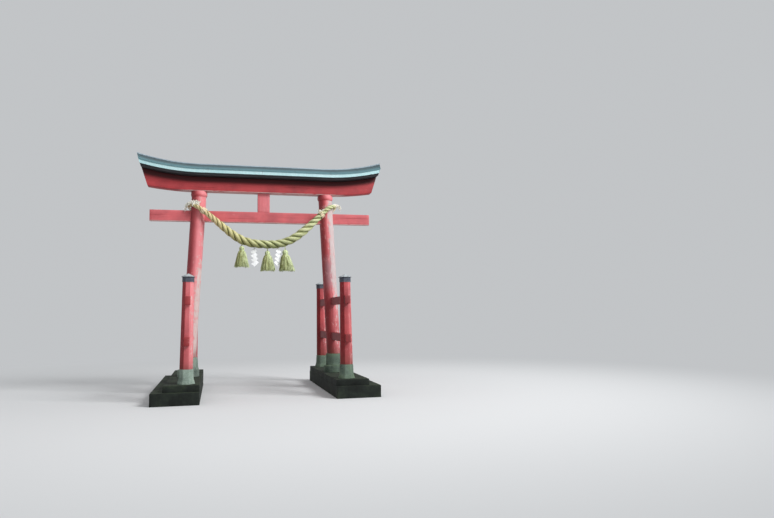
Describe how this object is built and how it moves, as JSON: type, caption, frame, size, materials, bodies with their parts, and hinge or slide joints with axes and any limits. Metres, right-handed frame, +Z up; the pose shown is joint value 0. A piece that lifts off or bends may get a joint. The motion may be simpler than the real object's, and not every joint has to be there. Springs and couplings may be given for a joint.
{
  "type": "torii gate",
  "caption": "Roofed vermilion wooden shrine gate: leaning round pillars braced by octagonal support posts, swept-up lintels and a hung straw rope with tassels",
  "frame": {"origin": "on the ground, midway between the two plinths and on the line of the main pillars", "axes": "+X to the right along the lintels, +Y along the path through the gate and away from its front, +Z up"},
  "size_m": [4.5604, 3.335, 4.3881],
  "materials": {
    "plinth_stone": "dark weathered stone",
    "concrete": "weathered grey concrete with a green tinge",
    "vermilion_wood": "faded vermilion paint, flaking",
    "dark_board": "dark weathered boards",
    "roof_sheet": "matt blue-grey sheet with standing seams",
    "fascia_sheet": "pale weathered sheet",
    "cap_sheet": "dark grey sheet, worn pale on top",
    "straw": "dry twisted rice straw",
    "white_paper": "folded white paper"
  },
  "bodies": {
    "root": {"left_lower_plinth": "plinth_stone", "left_upper_plinth": "plinth_stone", "right_lower_plinth": "plinth_stone", "right_upper_plinth": "plinth_stone", "left_pillar_footing": "concrete", "right_pillar_footing": "concrete", "left_main_pillar": "vermilion_wood", "right_main_pillar": "vermilion_wood", "left_pillar_collar": "vermilion_wood", "right_pillar_collar": "vermilion_wood", "left_front_post": "vermilion_wood", "left_rear_post": "vermilion_wood", "right_front_post": "vermilion_wood", "right_rear_post": "vermilion_wood", "left_front_base": "concrete", "left_rear_base": "concrete", "right_front_base": "concrete", "right_rear_base": "concrete", "left_front_cap": "cap_sheet", "left_rear_cap": "cap_sheet", "right_front_cap": "cap_sheet", "right_rear_cap": "cap_sheet", "left_lower_side_beam": "vermilion_wood", "left_upper_side_beam": "vermilion_wood", "right_lower_side_beam": "vermilion_wood", "right_upper_side_beam": "vermilion_wood", "tie_beam": "vermilion_wood", "centre_strut": "vermilion_wood", "lower_lintel": "vermilion_wood", "upper_lintel": "dark_board", "roof_front_slope": "roof_sheet", "roof_rear_slope": "roof_sheet", "roof_ridge_cap": "roof_sheet", "front_fascia": "fascia_sheet", "rear_fascia": "fascia_sheet", "straw_rope": "straw", "left_rope_tie": "straw", "right_rope_tie": "straw", "left_tassel": "straw", "centre_tassel": "straw", "right_tassel": "straw", "left_streamer": "white_paper", "right_streamer": "white_paper"}
  },
  "joints": []
}
